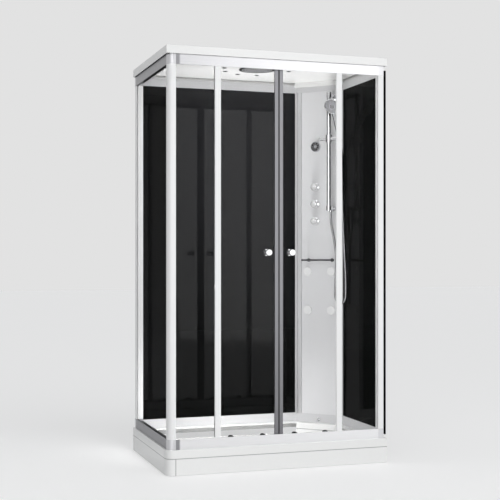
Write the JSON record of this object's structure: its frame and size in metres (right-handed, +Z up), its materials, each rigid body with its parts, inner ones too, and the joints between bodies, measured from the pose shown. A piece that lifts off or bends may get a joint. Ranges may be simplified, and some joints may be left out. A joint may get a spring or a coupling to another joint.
{
  "type": "steam shower cabin",
  "caption": "Rectangular corner shower cabin with a white tray and roof, clear double sliding doors, black glass walls and a white fittings column across the rear corner.",
  "frame": {"origin": "on the floor, under the middle of the tray, at the foot of the centre levelling foot", "axes": "+X right along the front, +Y from the front to the back wall, +Z up"},
  "size_m": [1.2, 0.8095, 2.15],
  "materials": {
    "tray_white": "gloss",
    "column_white": "satin",
    "aluminium": "satin anodised",
    "polished_aluminium": "polished",
    "post_white": "white powder coat",
    "clear_glass": "clear",
    "black_glass": "gloss, opaque",
    "chrome": "polished",
    "chromed_plastic": "chrome plated",
    "dark_plastic": "matte",
    "jet_white": "gloss",
    "seal_grey": "matte",
    "roller_white": "matte",
    "brass": "cast",
    "steel": "galvanised",
    "pipe_plastic": "matte",
    "hose_silver": "metallic spiral"
  },
  "bodies": {
    "cabin": {"shower_tray": "tray_white", "front_apron": "tray_white", "side_apron": "tray_white", "tray_frame": "steel", "levelling_feet": "dark_plastic", "waste_trap": "pipe_plastic", "bottom_rails": "aluminium", "top_rails": "aluminium", "rail_connectors": "polished_aluminium", "corner_post": "post_white", "wall_posts": "post_white", "front_glass": "clear_glass", "side_glass": "clear_glass", "mullions": "post_white", "wall_bottom_profiles": "aluminium", "wall_top_profiles": "aluminium", "back_glass_panel": "black_glass", "right_glass_panel": "black_glass", "column_panel": "column_white", "column_trims": "aluminium", "control_panel": "chromed_plastic", "knob_escutcheons": "chrome", "valve_manifold": "brass", "water_pipes": "pipe_plastic", "jet_housings": "jet_white", "towel_bar": "chrome", "slide_bar": "chrome", "shower_hose": "hose_silver", "roof_shell": "tray_white", "ceiling_panel": "tray_white", "overhead_shower": "dark_plastic", "ceiling_spots": "dark_plastic", "steam_generator": "steel", "steam_outlet": "steel"},
    "left_door": {"left_door_glass": "clear_glass", "left_door_stile": "aluminium", "left_door_seal": "seal_grey", "left_door_knob": "chrome", "left_door_hangers": "dark_plastic"},
    "left_inner_roller": {"left_inner_roller": "roller_white"},
    "left_outer_roller": {"left_outer_roller": "roller_white"},
    "right_door": {"right_door_glass": "clear_glass", "right_door_stile": "aluminium", "right_door_seal": "seal_grey", "right_door_knob": "chrome", "right_door_hangers": "dark_plastic"},
    "right_inner_roller": {"right_inner_roller": "roller_white"},
    "right_outer_roller": {"right_outer_roller": "roller_white"},
    "temperature_knob": {"temperature_knob": "chrome"},
    "flow_knob": {"flow_knob": "chrome"},
    "diverter_knob": {"diverter_knob": "chrome"},
    "control_button": {"control_button": "dark_plastic"},
    "slider": {"slider": "chromed_plastic"},
    "handset_holder": {"handset_holder": "chromed_plastic"},
    "handset": {"handset": "chromed_plastic"},
    "waste_cover": {"waste_cover": "chrome"},
    "jet_nozzle_upper_left": {"jet_nozzle_upper_left": "jet_white"},
    "jet_nozzle_upper_right": {"jet_nozzle_upper_right": "jet_white"},
    "jet_nozzle_lower_left": {"jet_nozzle_lower_left": "jet_white"},
    "jet_nozzle_lower_right": {"jet_nozzle_lower_right": "jet_white"}
  },
  "joints": [
    {"name": "left_door_slide", "type": "slide", "parent": "cabin", "child": "left_door", "axis": [-1, 0, 0], "range_m": [0, 0.2]},
    {"name": "left_inner_roller_spin", "type": "hinge", "parent": "left_door", "child": "left_inner_roller", "pos_m": [-0.087, -0.358, 2.08505], "axis": [0, -1, 0], "range_deg": [-5, 960]},
    {"name": "left_outer_roller_spin", "type": "hinge", "parent": "left_door", "child": "left_outer_roller", "pos_m": [-0.258, -0.358, 2.08505], "axis": [0, -1, 0], "range_deg": [-5, 960]},
    {"name": "right_door_slide", "type": "slide", "parent": "cabin", "child": "right_door", "axis": [1, 0, 0], "range_m": [0, 0.2]},
    {"name": "right_inner_roller_spin", "type": "hinge", "parent": "right_door", "child": "right_inner_roller", "pos_m": [0.087, -0.358, 2.08505], "axis": [0, 1, 0], "range_deg": [-5, 960]},
    {"name": "right_outer_roller_spin", "type": "hinge", "parent": "right_door", "child": "right_outer_roller", "pos_m": [0.258, -0.358, 2.08505], "axis": [0, 1, 0], "range_deg": [-5, 960]},
    {"name": "temperature_knob_turn", "type": "hinge", "parent": "cabin", "child": "temperature_knob", "pos_m": [0.46463, 0.29237, 1.503], "axis": [-0.7071, -0.7071, 0], "range_deg": [-120, 120]},
    {"name": "flow_knob_turn", "type": "hinge", "parent": "cabin", "child": "flow_knob", "pos_m": [0.46463, 0.29237, 1.403], "axis": [-0.7071, -0.7071, 0], "range_deg": [0, 90]},
    {"name": "diverter_knob_turn", "type": "hinge", "parent": "cabin", "child": "diverter_knob", "pos_m": [0.46463, 0.29237, 1.303], "axis": [-0.7071, -0.7071, 0], "range_deg": [-90, 90]},
    {"name": "control_button_press", "type": "slide", "parent": "cabin", "child": "control_button", "axis": [0.7071, 0.7071, 0], "range_m": [0, 0.0015], "stiffness_N_per_m": 800},
    {"name": "jet_upper_left_tilt", "type": "hinge", "parent": "cabin", "child": "jet_nozzle_upper_left", "pos_m": [0.43246, 0.33374, 1.008], "axis": [0.7071, -0.7071, 0], "range_deg": [-15, 15]},
    {"name": "jet_upper_right_tilt", "type": "hinge", "parent": "cabin", "child": "jet_nozzle_upper_right", "pos_m": [0.53852, 0.22767, 1.008], "axis": [0.7071, -0.7071, 0], "range_deg": [-15, 15]},
    {"name": "jet_lower_left_tilt", "type": "hinge", "parent": "cabin", "child": "jet_nozzle_lower_left", "pos_m": [0.43246, 0.33374, 0.782], "axis": [0.7071, -0.7071, 0], "range_deg": [-15, 15]},
    {"name": "jet_lower_right_tilt", "type": "hinge", "parent": "cabin", "child": "jet_nozzle_lower_right", "pos_m": [0.53852, 0.22767, 0.782], "axis": [0.7071, -0.7071, 0], "range_deg": [-15, 15]},
    {"name": "slider_slide", "type": "slide", "parent": "cabin", "child": "slider", "axis": [0, 0, 1], "range_m": [-0.36, 0.065], "deforming": ["shower_hose"]},
    {"name": "handset_holder_tilt", "type": "hinge", "parent": "slider", "child": "handset_holder", "pos_m": [0.54418, 0.12585, 1.776], "axis": [0.7071, -0.7071, 0], "range_deg": [-20, 32], "deforming": ["shower_hose"]},
    {"name": "handset_lift", "type": "slide", "parent": "handset_holder", "child": "handset", "axis": [-0.332, -0.332, 0.8829], "range_m": [0, 0.03], "deforming": ["shower_hose"]},
    {"name": "waste_cover_lift", "type": "slide", "parent": "cabin", "child": "waste_cover", "axis": [0, 0, 1], "range_m": [0, 0.03]}
  ],
  "couplings": [
    {"joint": "left_inner_roller_spin", "follows": "left_door_slide", "rad_per_m": 83.333},
    {"joint": "left_outer_roller_spin", "follows": "left_door_slide", "rad_per_m": 83.333},
    {"joint": "right_inner_roller_spin", "follows": "right_door_slide", "rad_per_m": 83.333},
    {"joint": "right_outer_roller_spin", "follows": "right_door_slide", "rad_per_m": 83.333}
  ]
}
